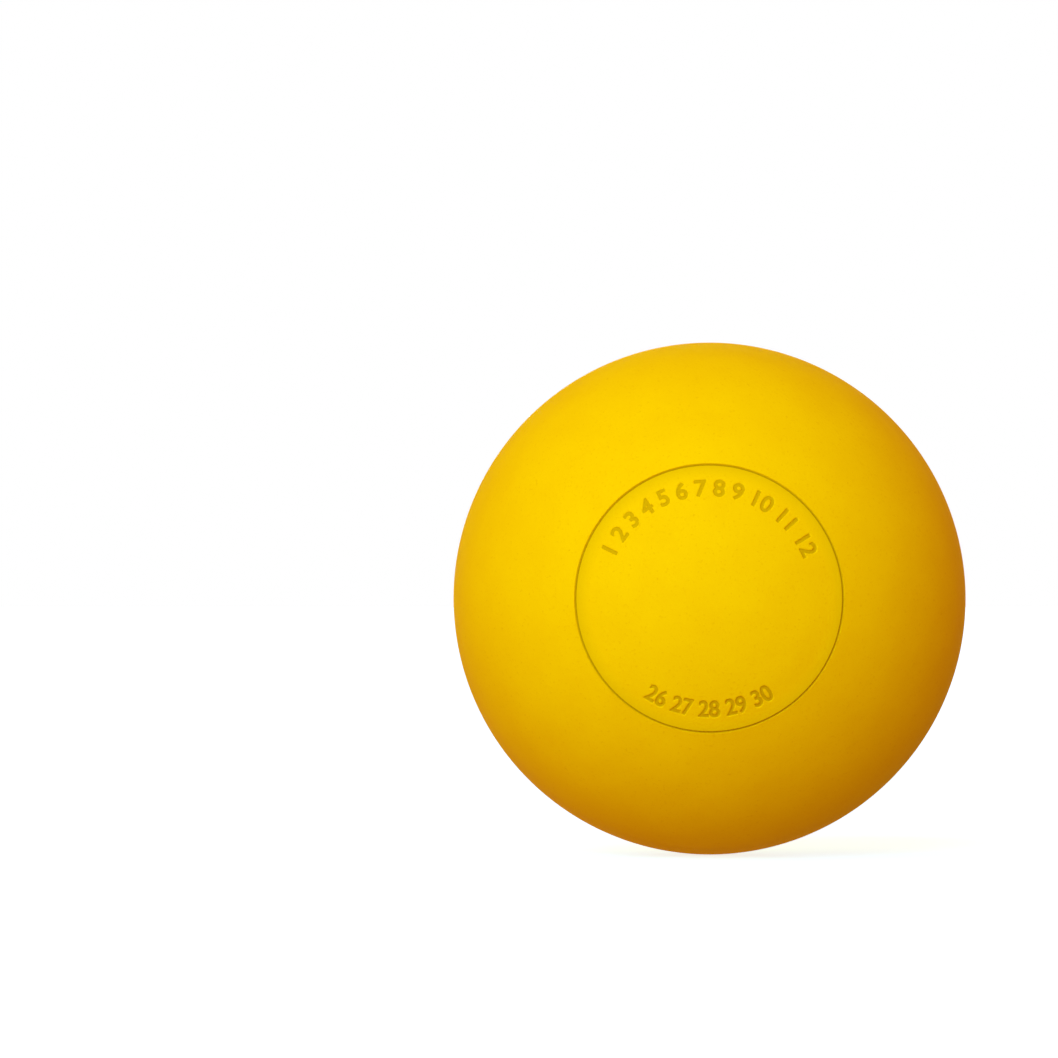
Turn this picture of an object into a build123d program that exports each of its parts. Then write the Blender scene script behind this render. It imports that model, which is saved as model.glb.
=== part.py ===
from build123d import *

import os
from math import sqrt

# Lacrosse ball: a solid rubber core inside two half covers that meet at the parting line.
# Millimetres, +Z up, origin at the centre of the ball. The two moulded faces lie on the Y axis:
# the large one looks along -Y (front) and the small one along +Y (back).

# Ball
ball_diameter = 63.5  # regulation balls measure 62.7 to 64.7
cover_thickness = 5.0  # yellow rubber moulded over the core
bond_gap = 0.05  # film of rubber cement between the core and the covers
parting_chamfer = 0.15  # fine line left where the flash was trimmed

# Round faces that the engraved mould inserts leave on both sides
front_ring_diameter = 32.0  # middle of the witness ring
back_ring_diameter = 22.2
ring_width = 0.3
ring_depth = 0.25
face_recess = 0.18  # how far a face lies below the round of the ball
face_blend = 1.7  # width of the soft slope between the ring and the face

ball_radius = ball_diameter / 2
cover_inner_radius = ball_radius - cover_thickness
core_radius = cover_inner_radius - bond_gap
face_radius = ball_radius - face_recess

# Profile planes of the two covers: x is the distance from the Y axis, y points at the middle of the face
front_plane = Plane(origin=(0, 0, 0), x_dir=(1, 0, 0), z_dir=(0, 0, -1))
back_plane = Plane(origin=(0, 0, 0), x_dir=(1, 0, 0), z_dir=(0, 0, 1))


def on_round(radius, distance):
    """Point of a profile on a round of this radius, at this distance from the axis."""
    return Vector(distance, sqrt(radius**2 - distance**2))


def half_cover(plane, ring_diameter):
    """Half of the yellow cover, with a recessed round face inside its witness ring."""
    ring_radius = ring_diameter / 2
    parting_edge = Vector(ball_radius - parting_chamfer, 0)
    round_start = Vector(sqrt(ball_radius**2 - parting_chamfer**2), parting_chamfer)
    ring_outside = on_round(ball_radius, ring_radius + ring_width / 2)
    ring_bottom = on_round(ball_radius, ring_radius) * (1 - ring_depth / ball_radius)
    ring_inside = on_round(ball_radius, ring_radius - ring_width / 2)
    face_edge = on_round(face_radius, ring_radius - ring_width / 2 - face_blend)
    round_middle = (round_start + ring_outside).normalized() * ball_radius
    face_middle = (face_edge.normalized() + Vector(0, 1)).normalized() * face_radius

    with BuildPart() as cover:
        with BuildSketch(plane):
            with BuildLine():
                Line((cover_inner_radius, 0), parting_edge)
                Line(parting_edge, round_start)
                ThreePointArc(round_start, round_middle, ring_outside)
                ThreePointArc(ring_outside, ring_bottom, ring_inside)
                TangentArc(face_edge, ring_inside, tangent=(face_edge.Y, -face_edge.X))
                ThreePointArc(face_edge, face_middle, (0, face_radius))
                Line((0, face_radius), (0, cover_inner_radius))
                CenterArc((0, 0), cover_inner_radius, 0, 90)
            make_face()
        revolve(axis=Axis.Y)
    return cover


# Core
with BuildPart() as core:
    Sphere(core_radius)
core.part.label = "core"

# Covers
front_cover = half_cover(front_plane, front_ring_diameter)
front_cover.part.label = "front_cover"

back_cover = half_cover(back_plane, back_ring_diameter)
back_cover.part.label = "back_cover"

os.makedirs("parts", exist_ok=True)
export_step(core.part, "parts/core.step")
export_step(front_cover.part, "parts/front_cover.step")
export_step(back_cover.part, "parts/back_cover.step")
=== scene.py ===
import math

import bpy
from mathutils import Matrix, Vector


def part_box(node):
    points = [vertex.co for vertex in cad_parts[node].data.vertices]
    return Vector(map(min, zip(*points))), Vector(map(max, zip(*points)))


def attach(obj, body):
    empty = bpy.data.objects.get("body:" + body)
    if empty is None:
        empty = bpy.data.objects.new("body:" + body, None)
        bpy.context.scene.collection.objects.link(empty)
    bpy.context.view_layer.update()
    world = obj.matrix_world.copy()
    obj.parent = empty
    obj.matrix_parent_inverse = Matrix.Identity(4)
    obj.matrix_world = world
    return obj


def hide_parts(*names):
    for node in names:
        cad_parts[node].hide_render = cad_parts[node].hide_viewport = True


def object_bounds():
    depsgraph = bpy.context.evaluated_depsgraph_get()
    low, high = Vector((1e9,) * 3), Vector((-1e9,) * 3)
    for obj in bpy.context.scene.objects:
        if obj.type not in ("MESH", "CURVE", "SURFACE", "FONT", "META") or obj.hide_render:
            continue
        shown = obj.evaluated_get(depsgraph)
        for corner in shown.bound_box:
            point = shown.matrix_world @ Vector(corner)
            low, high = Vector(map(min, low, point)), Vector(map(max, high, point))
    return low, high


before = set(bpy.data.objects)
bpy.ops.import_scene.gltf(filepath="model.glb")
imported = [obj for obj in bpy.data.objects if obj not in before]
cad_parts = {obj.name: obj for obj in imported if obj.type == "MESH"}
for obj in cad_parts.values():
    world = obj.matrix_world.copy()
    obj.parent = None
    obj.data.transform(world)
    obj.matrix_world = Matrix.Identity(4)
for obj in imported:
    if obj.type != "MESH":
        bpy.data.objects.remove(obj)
cadLow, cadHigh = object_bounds()
mm = 0.001  # sizes are written in millimetres, the scene is in metres
sharpAngle = math.radians(40)  # an edge that turns more than this is shaded sharp
weldGap = 0.0002 * mm  # points closer than this become one
ballRadius = min(-cadLow.x, cadHigh.x, -cadLow.z, cadHigh.z)
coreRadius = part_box("core")[1].x
print("frame loaded, ball radius", round(ballRadius / mm, 2), "mm")


def linearColour(hexCode):
    parts = [int(hexCode[i:i + 2], 16) / 255 for i in (1, 3, 5)]
    return tuple(c / 12.92 if c <= 0.04045 else ((c + 0.055) / 1.055) ** 2.4 for c in parts) + (1.0,)


# adds a node, sets it up and links or fills its inputs; a list goes to a socket that takes several links
def addNode(tree, kind, inputs=None, **settings):
    node = tree.nodes.new(kind)
    for name, value in settings.items():
        setattr(node, name, value)
    for key, value in (inputs or {}).items():
        for item in value if isinstance(value, list) else [value]:
            if isinstance(item, bpy.types.Node):
                item = item.outputs[0]
            if isinstance(item, bpy.types.NodeSocket):
                tree.links.new(item, node.inputs[key])
            else:
                node.inputs[key].default_value = item
    return node


def newTree(name, inputs):
    tree = bpy.data.node_groups.new(name, "GeometryNodeTree")
    for label, kind in inputs.items():
        tree.interface.new_socket(label, in_out="INPUT", socket_type="NodeSocket" + kind)
    tree.interface.new_socket("Geometry", in_out="OUTPUT", socket_type="NodeSocketGeometry")
    return tree, addNode(tree, "NodeGroupInput").outputs


def newMaterial(name):
    material = bpy.data.materials.new(name)
    material.use_nodes = True
    material.node_tree.nodes.clear()
    return material, material.node_tree


# runs the trees one after the other on an empty mesh and keeps the result as a plain mesh
def pieceFromTrees(name, layers):
    piece = bpy.data.objects.new(name, bpy.data.meshes.new(name))
    bpy.context.collection.objects.link(piece)
    for tree, values in layers:
        modifier = piece.modifiers.new(tree.name, "NODES")
        modifier.node_group = tree
        for socket in tree.interface.items_tree:
            if socket.in_out == "INPUT" and socket.name in values:
                modifier[socket.identifier] = values[socket.name]
    graph = bpy.context.evaluated_depsgraph_get()
    made = piece.evaluated_get(graph)
    mesh = bpy.data.meshes.new_from_object(made, preserve_all_data_layers=True, depsgraph=graph)
    piece.modifiers.clear()
    piece.data = mesh
    mesh.set_sharp_from_angle(angle=sharpAngle)
    print(name, "has", sum(len(p.vertices) - 2 for p in mesh.polygons), "triangles")
    return piece


# numbers that follow an arc of the face: Side 1 reads along the top, -1 along the bottom
def makeArcRowTree():
    tree, given = newTree("arcRow", {
        "Geometry": "Geometry", "Numbers": "String", "Size": "Float", "Spacing": "Float",
        "Arc Radius": "Float", "Side": "Float"})
    digits = addNode(tree, "GeometryNodeStringToCurves", {
        "String": given["Numbers"], "Size": given["Size"], "Character Spacing": given["Spacing"]},
        align_x="CENTER", align_y="BOTTOM_BASELINE")
    outlines = addNode(tree, "GeometryNodeRealizeInstances", {0: digits})
    flat = addNode(tree, "GeometryNodeFillCurve", {0: outlines})
    place = addNode(tree, "ShaderNodeSeparateXYZ", {0: addNode(tree, "GeometryNodeInputPosition")})
    angle = addNode(tree, "ShaderNodeMath", {
        0: place.outputs["X"], 1: given["Arc Radius"]}, operation="DIVIDE")
    reach = addNode(tree, "ShaderNodeMath", {
        0: place.outputs["Y"], 1: given["Side"], 2: given["Arc Radius"]}, operation="MULTIPLY_ADD")
    sine = addNode(tree, "ShaderNodeMath", {0: angle}, operation="SINE")
    cosine = addNode(tree, "ShaderNodeMath", {0: angle}, operation="COSINE")
    across = addNode(tree, "ShaderNodeMath", {0: reach, 1: sine}, operation="MULTIPLY")
    up = addNode(tree, "ShaderNodeMath", {0: reach, 1: cosine}, operation="MULTIPLY")
    upOrDown = addNode(tree, "ShaderNodeMath", {0: up, 1: given["Side"]}, operation="MULTIPLY")
    bent = addNode(tree, "GeometryNodeSetPosition", {
        "Geometry": flat, "Position": addNode(tree, "ShaderNodeCombineXYZ", {"X": across, "Y": upOrDown})})
    joined = addNode(tree, "GeometryNodeJoinGeometry", {0: [given["Geometry"], bent]})
    addNode(tree, "NodeGroupOutput", {"Geometry": joined})
    return tree


# a row of small five-pointed stars through the middle of the face
def makeStarRowTree():
    tree, given = newTree("starRow", {
        "Geometry": "Geometry", "Count": "Int", "Step": "Float", "Start": "Vector",
        "Outer Radius": "Float", "Inner Radius": "Float"})
    star = addNode(tree, "GeometryNodeCurveStar", {
        "Points": 5, "Inner Radius": given["Inner Radius"], "Outer Radius": given["Outer Radius"]})
    upright = addNode(tree, "GeometryNodeTransform", {
        "Geometry": addNode(tree, "GeometryNodeFillCurve", {0: star}), "Rotation": (0, 0, math.pi / 2)})
    row = addNode(tree, "GeometryNodeMeshLine", {
        "Count": given["Count"], "Start Location": given["Start"],
        "Offset": addNode(tree, "ShaderNodeCombineXYZ", {"X": given["Step"]})})
    stars = addNode(tree, "GeometryNodeInstanceOnPoints", {"Points": row, "Instance": upright})
    joined = addNode(tree, "GeometryNodeJoinGeometry", {
        0: [given["Geometry"], addNode(tree, "GeometryNodeRealizeInstances", {0: stars})]})
    addNode(tree, "NodeGroupOutput", {"Geometry": joined})
    return tree


# one stretch of the cover's section, turned about the Y axis; angles count from the middle of the face
def makeBandTree():
    tree, given = newTree("roundBand", {
        "From Angle": "Float", "To Angle": "Float", "From Radius": "Float", "To Radius": "Float",
        "Rings": "Int", "Segments": "Int"})
    # a grid 1 across: its X, from -0.5 to 0.5, runs along the section and its Y goes once round
    aroundCount = addNode(tree, "ShaderNodeMath", {0: given["Segments"], 1: 1.0}, operation="ADD")
    grid = addNode(tree, "GeometryNodeMeshGrid", {
        "Size X": 1.0, "Size Y": 1.0, "Vertices X": given["Rings"], "Vertices Y": aroundCount})
    place = addNode(tree, "ShaderNodeSeparateXYZ", {0: addNode(tree, "GeometryNodeInputPosition")})
    along = {"Value": place.outputs["X"], "From Min": -0.5, "From Max": 0.5}
    angle = addNode(tree, "ShaderNodeMapRange", along | {
        "To Min": given["From Angle"], "To Max": given["To Angle"]})
    radius = addNode(tree, "ShaderNodeMapRange", along | {
        "To Min": given["From Radius"], "To Max": given["To Radius"]})
    turn = addNode(tree, "ShaderNodeMath", {0: place.outputs["Y"], 1: math.tau}, operation="MULTIPLY")
    sine = addNode(tree, "ShaderNodeMath", {0: angle}, operation="SINE")
    cosine = addNode(tree, "ShaderNodeMath", {0: angle}, operation="COSINE")
    distance = addNode(tree, "ShaderNodeMath", {0: sine, 1: radius}, operation="MULTIPLY")
    height = addNode(tree, "ShaderNodeMath", {0: cosine, 1: radius}, operation="MULTIPLY")
    section = addNode(tree, "ShaderNodeCombineXYZ", {"X": distance, "Y": height})
    turned = addNode(tree, "ShaderNodeVectorRotate", {
        "Vector": section, "Angle": turn}, rotation_type="Y_AXIS")
    band = addNode(tree, "GeometryNodeSetPosition", {"Geometry": grid, "Position": turned})
    addNode(tree, "NodeGroupOutput", {"Geometry": band})
    return tree


# half of the cover as a closed shell; what comes in is the flat outline of the marks on its face
def makeHalfCoverTree(bandTree):
    tree, given = newTree("halfCover", {
        "Geometry": "Geometry", "Rubber": "Material", "Turn": "Float",
        "Ball Radius": "Float", "Inner Radius": "Float", "Parting Chamfer": "Float",
        "Ring Radius": "Float", "Ring Width": "Float", "Ring Depth": "Float",
        "Face Recess": "Float", "Face Blend": "Float", "Fine From": "Float", "Fine To": "Float",
        "Mark Depth": "Float", "Mark Bold": "Float", "Mark Wall": "Float",
        "Segments": "Int", "Hub Rings": "Int", "Fine Rings": "Int", "Step Rings": "Int",
        "Round Rings": "Int", "Inner Rings": "Int"})

    # distances from the axis where one stretch of the section ends and the next begins
    halfWidth = addNode(tree, "ShaderNodeMath", {0: given["Ring Width"], 1: 0.5}, operation="MULTIPLY")
    ringIn = addNode(tree, "ShaderNodeMath", {0: given["Ring Radius"], 1: halfWidth}, operation="SUBTRACT")
    ringOut = addNode(tree, "ShaderNodeMath", {0: given["Ring Radius"], 1: halfWidth}, operation="ADD")
    faceEdge = addNode(tree, "ShaderNodeMath", {0: ringIn, 1: given["Face Blend"]}, operation="SUBTRACT")
    angles = []
    for distance in (given["Fine From"], given["Fine To"], ringIn, ringOut):
        share = addNode(tree, "ShaderNodeMath", {0: distance, 1: given["Ball Radius"]}, operation="DIVIDE")
        angles.append(addNode(tree, "ShaderNodeMath", {0: share}, operation="ARCSINE"))
    fineFromAngle, fineToAngle, ringInAngle, ringOutAngle = angles
    chamferAngle = addNode(tree, "ShaderNodeMath", {
        0: given["Parting Chamfer"], 1: given["Ball Radius"]}, operation="DIVIDE")
    quarter = math.pi / 2
    roundEnd = addNode(tree, "ShaderNodeMath", {0: quarter, 1: chamferAngle}, operation="SUBTRACT")
    partingEdge = addNode(tree, "ShaderNodeMath", {
        0: given["Ball Radius"], 1: given["Parting Chamfer"]}, operation="SUBTRACT")

    outside = given["Ball Radius"]
    inside = given["Inner Radius"]
    bothEnds = 2  # a straight stretch has a ring at each end and none between
    skinBands = [
        (0.0, fineFromAngle, outside, outside, given["Hub Rings"]),
        (fineFromAngle, fineToAngle, outside, outside, given["Fine Rings"]),
        (fineToAngle, ringInAngle, outside, outside, given["Step Rings"]),
        (ringInAngle, ringOutAngle, outside, outside, given["Step Rings"]),
        (ringOutAngle, roundEnd, outside, outside, given["Round Rings"])]
    backBands = [
        (roundEnd, quarter, outside, partingEdge, bothEnds),
        (quarter, quarter, partingEdge, inside, bothEnds),
        (quarter, 0.0, inside, inside, given["Inner Rings"])]
    made = []
    for fromAngle, toAngle, fromRadius, toRadius, rings in skinBands + backBands:
        made.append(addNode(tree, "GeometryNodeGroup", {
            0: fromAngle, 1: toAngle, 2: fromRadius, 3: toRadius, 4: rings, 5: given["Segments"]},
            node_tree=bandTree))
    skin = addNode(tree, "GeometryNodeJoinGeometry", {0: made[:len(skinBands)]})

    # how deep the skin lies: the face, the ring and the marks
    position = addNode(tree, "GeometryNodeInputPosition")
    place = addNode(tree, "ShaderNodeSeparateXYZ", {0: position})
    flatPlace = addNode(tree, "ShaderNodeCombineXYZ", {
        "X": addNode(tree, "ShaderNodeMath", {0: place.outputs["X"], 1: -1.0}, operation="MULTIPLY"),
        "Y": place.outputs["Z"]})
    distance = addNode(tree, "ShaderNodeVectorMath", {0: flatPlace}, operation="LENGTH").outputs["Value"]
    slope = addNode(tree, "ShaderNodeMapRange", {
        "Value": distance, "From Min": faceEdge, "From Max": ringIn})
    slopeDrop = addNode(tree, "ShaderNodeMath", {0: slope, 1: slope}, operation="MULTIPLY")
    faceShare = addNode(tree, "ShaderNodeMath", {0: 1.0, 1: slopeDrop}, operation="SUBTRACT")
    fromRing = addNode(tree, "ShaderNodeMath", {
        0: distance, 1: given["Ring Radius"]}, operation="SUBTRACT")
    ringPlace = addNode(tree, "ShaderNodeMath", {0: fromRing, 1: halfWidth}, operation="DIVIDE")
    ringDrop = addNode(tree, "ShaderNodeMath", {0: ringPlace, 1: ringPlace}, operation="MULTIPLY")
    ringShare = addNode(tree, "ShaderNodeMath", {
        0: 1.0, 1: ringDrop}, operation="SUBTRACT", use_clamp=True)
    markGap = addNode(tree, "GeometryNodeProximity", {
        "Geometry": given["Geometry"], "Sample Position": flatPlace}).outputs["Distance"]
    wallEnd = addNode(tree, "ShaderNodeMath", {
        0: given["Mark Bold"], 1: given["Mark Wall"]}, operation="ADD")
    markShare = addNode(tree, "ShaderNodeMapRange", {
        "Value": markGap, "From Min": given["Mark Bold"], "From Max": wallEnd,
        "To Min": 1.0, "To Max": 0.0}, interpolation_type="SMOOTHSTEP")
    depth = addNode(tree, "ShaderNodeMath", {0: faceShare, 1: given["Face Recess"]}, operation="MULTIPLY")
    for share, full in ((ringShare, given["Ring Depth"]), (markShare, given["Mark Depth"])):
        depth = addNode(tree, "ShaderNodeMath", {0: share, 1: full, 2: depth}, operation="MULTIPLY_ADD")
    outwards = addNode(tree, "ShaderNodeVectorMath", {0: position}, operation="NORMALIZE")
    sink = addNode(tree, "ShaderNodeMath", {0: depth, 1: -1.0}, operation="MULTIPLY")
    inwards = addNode(tree, "ShaderNodeVectorMath", {0: outwards, "Scale": sink}, operation="SCALE")

    # what the material reads: the gap to the ring in millimetres, the slope inside it and the marks, from
    # which it paints shade into the ring, the slope and the marks
    insideRing = addNode(tree, "ShaderNodeMath", {
        0: distance, 1: given["Ring Radius"]}, operation="LESS_THAN")
    ringGap = addNode(tree, "ShaderNodeMath", {0: fromRing}, operation="ABSOLUTE")
    notes = {
        "ringGap": addNode(tree, "ShaderNodeMath", {0: ringGap, 1: 1 / mm}, operation="MULTIPLY"),
        "stepShade": addNode(tree, "ShaderNodeMath", {0: slope, 1: insideRing}, operation="MULTIPLY"),
        "markShade": markShare}
    for name, value in notes.items():
        skin = addNode(tree, "GeometryNodeStoreNamedAttribute", {
            "Geometry": skin, "Name": name, "Value": value})
    relief = addNode(tree, "GeometryNodeSetPosition", {"Geometry": skin, "Offset": inwards})

    shell = addNode(tree, "GeometryNodeJoinGeometry", {0: [relief] + made[len(skinBands):]})
    closed = addNode(tree, "GeometryNodeMergeByDistance", {"Geometry": shell, "Distance": weldGap})
    faced = addNode(tree, "GeometryNodeTransform", {
        "Geometry": closed, "Rotation": addNode(tree, "ShaderNodeCombineXYZ", {"Z": given["Turn"]})})
    smooth = addNode(tree, "GeometryNodeSetShadeSmooth", {"Geometry": faced})
    real = addNode(tree, "GeometryNodeRealizeInstances", {0: smooth})
    finished = addNode(tree, "GeometryNodeSetMaterial", {"Geometry": real, "Material": given["Rubber"]})
    addNode(tree, "NodeGroupOutput", {"Geometry": finished})
    return tree


# Natural rubber with yellow pigment, pressed and vulcanised in a polished steel mould. To the eye: a deep,
# even yellow with a dull satin skin, a fine grain and a faint orange peel, paler and coarser along the
# parting line, where the flash was ground off. The darker tones in the ring, the marks and the slope inside
# the ring are painted shade of those recesses
def makeCoverRubber():
    look = {
        "yellow": "#FCD900",
        # tones over the yellow, each with the two levels of its mask between which it comes in
        "warmYellow": ("#FAD500", 0.35, 0.65), "speckTone": ("#F0C500", 0.6, 0.85),
        # on the next line the step tone is painted shade: darker on the slope just inside the ring
        "groundTone": ("#F5D52A", 0.0, 1.6), "stepPaintedShade": ("#EBC900", 0.0, 1.0),
        # painted shade on the next line: darker tones laid into the recesses of the marks and the ring groove
        "markPaintedShade": ("#D5B200", 0.2, 0.8), "ringPaintedShade": ("#C5A100", 0.16, 0.07),
        "cloud": (6.0, 3.0), "peel": (2.4, 1.0), "grain": (0.35, 2.0),  # mm from spot to spot, and detail
        "peelHeight": 0.03, "grainHeight": 0.03, "groundHeight": 0.06,  # mm
        "groundEdge": 0.75, "groundFade": 0.3, "groundRagged": 0.5,  # mm on each side of the parting line
        "stepPower": 1.5, "roughness": 0.68, "roughnessSpread": 0.1, "specular": 0.02, "ior": 1.52}
    material, tree = newMaterial("mouldedYellowRubber")
    place = addNode(tree, "ShaderNodeTexCoord").outputs["Object"]
    noise = {}
    for name in ("cloud", "peel", "grain"):
        size, detail = look[name]
        noise[name] = addNode(tree, "ShaderNodeTexNoise", {
            "Vector": place, "Scale": 1 / (size * mm), "Detail": detail})
    note = {}
    for name in ("ringGap", "stepShade", "markShade"):
        note[name] = addNode(tree, "ShaderNodeAttribute", attribute_name=name).outputs["Fac"]

    # the ground stripe follows the parting plane, with an edge that the noise breaks up
    across = addNode(tree, "ShaderNodeSeparateXYZ", {0: place}).outputs["Y"]
    fromPlane = addNode(tree, "ShaderNodeMath", {0: across}, operation="ABSOLUTE")
    fromSeam = addNode(tree, "ShaderNodeMath", {0: fromPlane, 1: 1 / mm}, operation="MULTIPLY")
    ragged = addNode(tree, "ShaderNodeMath", {
        0: noise["peel"], 1: look["groundRagged"], 2: fromSeam}, operation="MULTIPLY_ADD")
    groundEnd = look["groundEdge"] + look["groundFade"]
    ground = addNode(tree, "ShaderNodeMapRange", {
        "Value": ragged, "From Min": look["groundEdge"], "From Max": groundEnd, "To Min": 1.0, "To Max": 0.0})

    # painted shade: the face grows darker towards the ring's inner edge, strongest at the ring
    step = addNode(tree, "ShaderNodeMath", {0: note["stepShade"], 1: look["stepPower"]}, operation="POWER")
    masks = {
        "warmYellow": noise["cloud"], "speckTone": noise["grain"], "groundTone": ground,
        "stepPaintedShade": step, "markPaintedShade": note["markShade"], "ringPaintedShade": note["ringGap"]}
    tone = linearColour(look["yellow"])
    for key, mask in masks.items():
        colour, start, end = look[key]
        share = addNode(tree, "ShaderNodeMapRange", {"Value": mask, "From Min": start, "From Max": end})
        tone = addNode(tree, "ShaderNodeMix", {
            0: share, 6: tone, 7: linearColour(colour)}, data_type="RGBA").outputs[2]

    grainHeight = addNode(tree, "ShaderNodeMapRange", {
        "Value": ground, "To Min": look["grainHeight"], "To Max": look["groundHeight"]})
    grain = addNode(tree, "ShaderNodeMath", {0: noise["grain"], 1: grainHeight}, operation="MULTIPLY")
    height = addNode(tree, "ShaderNodeMath", {
        0: noise["peel"], 1: look["peelHeight"], 2: grain}, operation="MULTIPLY_ADD")
    bump = addNode(tree, "ShaderNodeBump", {"Height": height, "Strength": 1.0, "Distance": mm})
    roughness = addNode(tree, "ShaderNodeMapRange", {
        "Value": noise["grain"], "To Min": look["roughness"] - look["roughnessSpread"],
        "To Max": look["roughness"] + look["roughnessSpread"]})
    surface = addNode(tree, "ShaderNodeBsdfPrincipled", {
        "Base Color": tone, "Roughness": roughness, "IOR": look["ior"],
        "Specular IOR Level": look["specular"], "Normal": bump})
    addNode(tree, "ShaderNodeOutputMaterial", {"Surface": surface})
    return material


# Plain uncoloured rubber of the core: a dull tan block with a coarse filler speckle
def makeCoreRubber():
    look = {"tan": "#B4946A", "speck": "#8E7250", "speckSize": 0.8, "speckHeight": 0.02,  # mm
            "speckDetail": 4.0, "roughness": 0.75, "ior": 1.52}
    material, tree = newMaterial("plainCoreRubber")
    place = addNode(tree, "ShaderNodeTexCoord").outputs["Object"]
    speck = addNode(tree, "ShaderNodeTexNoise", {
        "Vector": place, "Scale": 1 / (look["speckSize"] * mm), "Detail": look["speckDetail"]})
    tone = addNode(tree, "ShaderNodeMix", {
        0: speck, 6: linearColour(look["tan"]), 7: linearColour(look["speck"])},
        data_type="RGBA").outputs[2]
    bump = addNode(tree, "ShaderNodeBump", {
        "Height": speck, "Strength": 1.0, "Distance": look["speckHeight"] * mm})
    surface = addNode(tree, "ShaderNodeBsdfPrincipled", {
        "Base Color": tone, "Roughness": look["roughness"], "IOR": look["ior"], "Normal": bump})
    addNode(tree, "ShaderNodeOutputMaterial", {"Surface": surface})
    return material


arcRow = makeArcRowTree()
starRow = makeStarRowTree()
halfCover = makeHalfCoverTree(makeBandTree())

# sizes that both half covers share
bondGap = 0.05 * mm  # film of cement round the core
cover = {
    "Rubber": makeCoverRubber(), "Ball Radius": ballRadius, "Inner Radius": coreRadius + bondGap,
    "Parting Chamfer": 0.15 * mm, "Ring Width": 0.3 * mm, "Ring Depth": 0.25 * mm,
    "Face Recess": 0.18 * mm, "Face Blend": 1.7 * mm,
    "Mark Depth": 0.12 * mm, "Mark Bold": 0.02 * mm, "Mark Wall": 0.12 * mm,
    "Step Rings": 8, "Round Rings": 17, "Inner Rings": 14}
print("node trees and rubber ready")

# the large face: a moulder's date code, months along the top and years along the bottom
months = {"Numbers": "1 2 3 4 5 6 7 8 9 10 11 12", "Size": 2.75 * mm, "Spacing": 1.0,
          "Arc Radius": 12.35 * mm, "Side": 1.0}
years = {"Numbers": "26 27 28 29 30", "Size": 2.75 * mm, "Spacing": 1.0,
         "Arc Radius": 14.25 * mm, "Side": -1.0}
frontCover = {"Turn": math.pi, "Ring Radius": 16.0 * mm, "Fine From": 12.15 * mm, "Fine To": 14.5 * mm,
              "Segments": 1160, "Hub Rings": 8, "Fine Rings": 36}
frontPiece = pieceFromTrees("front_cover_rubber", [
    (arcRow, months), (arcRow, years), (halfCover, cover | frontCover)])

# the small face: a row of stars, the first one a step to the left of the middle
starStep = 4.0 * mm
stars = {"Count": 3, "Step": starStep, "Start": (-starStep, 0.0, 0.0),
         "Outer Radius": 1.35 * mm, "Inner Radius": 0.56 * mm}
backCover = {"Turn": 0.0, "Ring Radius": 11.1 * mm, "Fine From": 6.0 * mm, "Fine To": 9.3 * mm,
             "Segments": 640, "Hub Rings": 86, "Fine Rings": 8}
backPiece = pieceFromTrees("back_cover_rubber", [(starRow, stars), (halfCover, cover | backCover)])

for piece, node in ((frontPiece, "front_cover"), (backPiece, "back_cover")):
    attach(piece, "root")
    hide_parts(node)
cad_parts["core"].material_slots[0].material = makeCoreRubber()
print("covers and core finished")


# what the eye and reflections see of the studio is white, and only the rest of it lights the ball
def seenDirectly(tree):
    rays = addNode(tree, "ShaderNodeLightPath").outputs
    seen = rays["Is Camera Ray"]
    for name in ("Is Glossy Ray", "Is Transmission Ray"):
        seen = addNode(tree, "ShaderNodeMath", {0: seen, 1: rays[name]}, operation="MAXIMUM")
    return seen


studio = {"floorSize": 40.0, "floorColour": (0.355, 0.70, 1.0, 1.0), "floorGlow": 0.76,
          "ambient": (1.0, 0.336, 0.15, 1.0), "ambientStrength": 0.507,
          "brighterSide": (-0.29, 0.0, 0.425)}  # how much brighter the room is above and to the left
half = studio["floorSize"] / 2
corners = [(x, y, cadLow.z) for x, y in ((-half, -half), (half, -half), (half, half), (-half, half))]
floorMesh = bpy.data.meshes.new("floor")
floorMesh.from_pydata(corners, [], [(0, 1, 2, 3)])
floor = bpy.data.objects.new("floor", floorMesh)
bpy.context.collection.objects.link(floor)
floor.visible_diffuse = False
floor.visible_shadow = False
floorPaint, tree = newMaterial("paleFloor")
paint = addNode(tree, "ShaderNodeBsdfDiffuse", {"Color": studio["floorColour"]})
glowLevel = addNode(tree, "ShaderNodeMath", {
    0: seenDirectly(tree), 1: studio["floorGlow"]}, operation="MULTIPLY")
glow = addNode(tree, "ShaderNodeEmission", {"Strength": glowLevel})
pale = addNode(tree, "ShaderNodeAddShader", {0: paint, 1: glow})
addNode(tree, "ShaderNodeOutputMaterial", {"Surface": pale})
floorMesh.materials.append(floorPaint)

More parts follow.
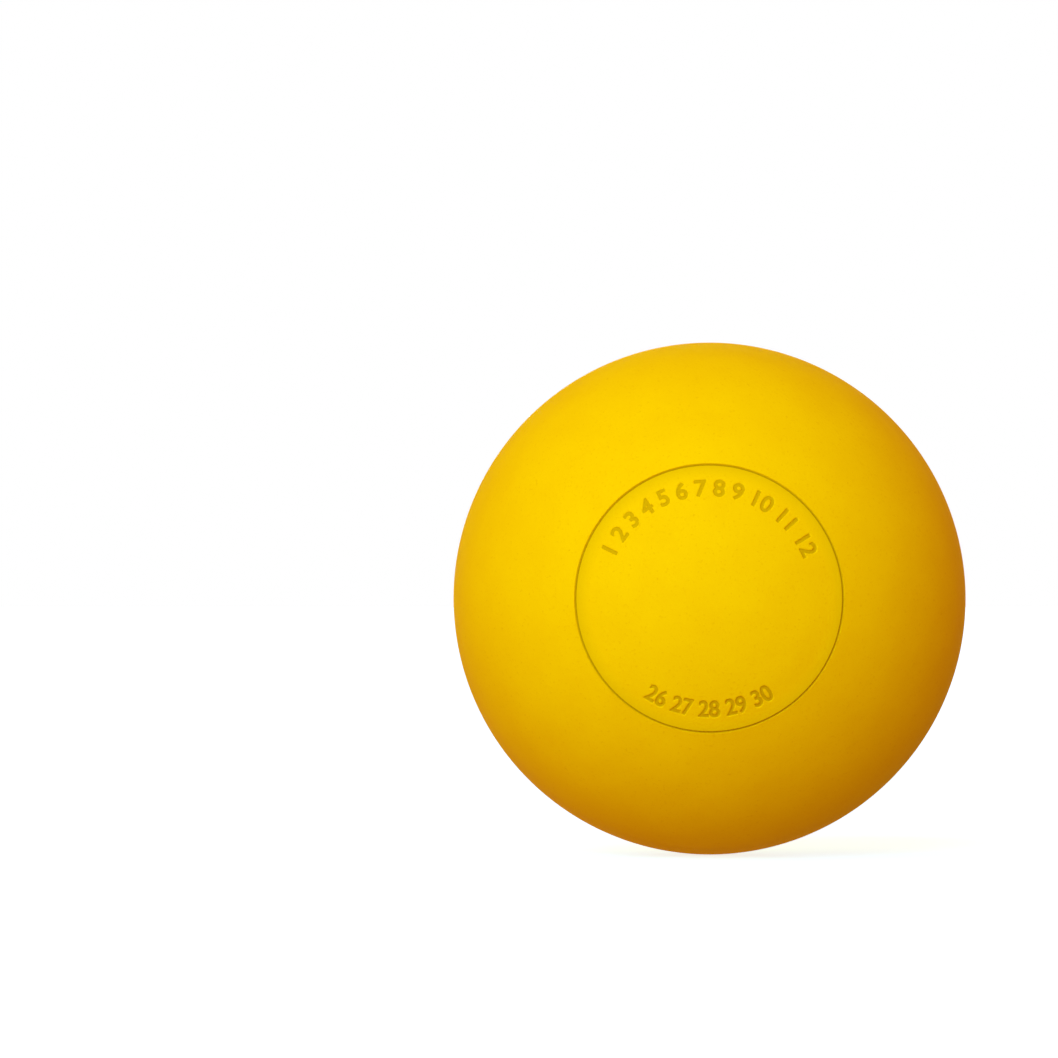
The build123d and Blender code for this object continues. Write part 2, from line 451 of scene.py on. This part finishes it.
world = bpy.data.worlds.new("studio")
bpy.context.scene.world = world
world.use_nodes = True
tree = world.node_tree
tree.nodes.clear()
direction = addNode(tree, "ShaderNodeTexCoord").outputs["Generated"]
side = addNode(tree, "ShaderNodeVectorMath", {
    0: direction, 1: studio["brighterSide"]}, operation="DOT_PRODUCT").outputs["Value"]
level = addNode(tree, "ShaderNodeMath", {
    0: side, 1: studio["ambientStrength"], 2: studio["ambientStrength"]}, operation="MULTIPLY_ADD")
dim = addNode(tree, "ShaderNodeBackground", {"Color": studio["ambient"], "Strength": level})
white = addNode(tree, "ShaderNodeBackground", {"Color": (1, 1, 1, 1), "Strength": 1.0})
backdrop = addNode(tree, "ShaderNodeMixShader", {0: seenDirectly(tree), 1: dim, 2: white})
addNode(tree, "ShaderNodeOutputWorld", {"Surface": backdrop})

# degrees to the right of the front and above the horizon, how soft the lamp is in degrees, and its light
lamps = {
    "front": {"from": (-5, 4.5), "spread": 60, "level": 0.348, "colour": (1.0, 1.0, 1.0)},
    "key": {"from": (-26.5, 32.7), "spread": 53, "level": 0.465, "colour": (0.30, 1.0, 1.0)},
    "back": {"from": (180, 4), "spread": 34, "level": 0.74, "colour": (0.74, 1.0, 1.0)}}
for name, lamp in lamps.items():
    light = bpy.data.lights.new(name, "SUN")
    light.energy = lamp["level"] * math.pi  # a sun of strength pi alone shows a colour as it is written
    light.color = lamp["colour"]
    light.angle = math.radians(lamp["spread"])
    holder = bpy.data.objects.new(name, light)
    bpy.context.collection.objects.link(holder)
    holder.visible_glossy = False  # rubber this dull mirrors no lamp
    sideways, upwards = (math.radians(a) for a in lamp["from"])
    holder.rotation_euler = (math.pi / 2 - upwards, 0, sideways)

# the ball's place and size in the photograph, in its pixels, set the camera's distance and aim
photo = {"frame": 1058, "ballAt": (709.2, 598.4), "ballRadius": 255.9}
shot = {"lens": 200, "sensor": 36, "clipStart": 10 * mm}  # lens and sensor are set in millimetres
lens = bpy.data.cameras.new("camera")
lens.lens = shot["lens"]
lens.sensor_width = shot["sensor"]
lens.clip_start = shot["clipStart"]
camera = bpy.data.objects.new("camera", lens)
bpy.context.collection.objects.link(camera)
bpy.context.scene.camera = camera
focal = shot["lens"] / shot["sensor"] * photo["frame"]
away = ballRadius / math.sin(math.atan(photo["ballRadius"] / focal))
tilt = math.atan((photo["ballAt"][1] - photo["frame"] / 2) / focal)
swing = math.atan((photo["ballAt"][0] - photo["frame"] / 2) / focal * math.cos(tilt))
camera.location = (0, -away, 0)
camera.rotation_euler = (math.pi / 2 + tilt, 0, swing)
bpy.context.scene.view_settings.view_transform = "Standard"
print("studio ready, camera", round(away / mm), "mm from the ball")
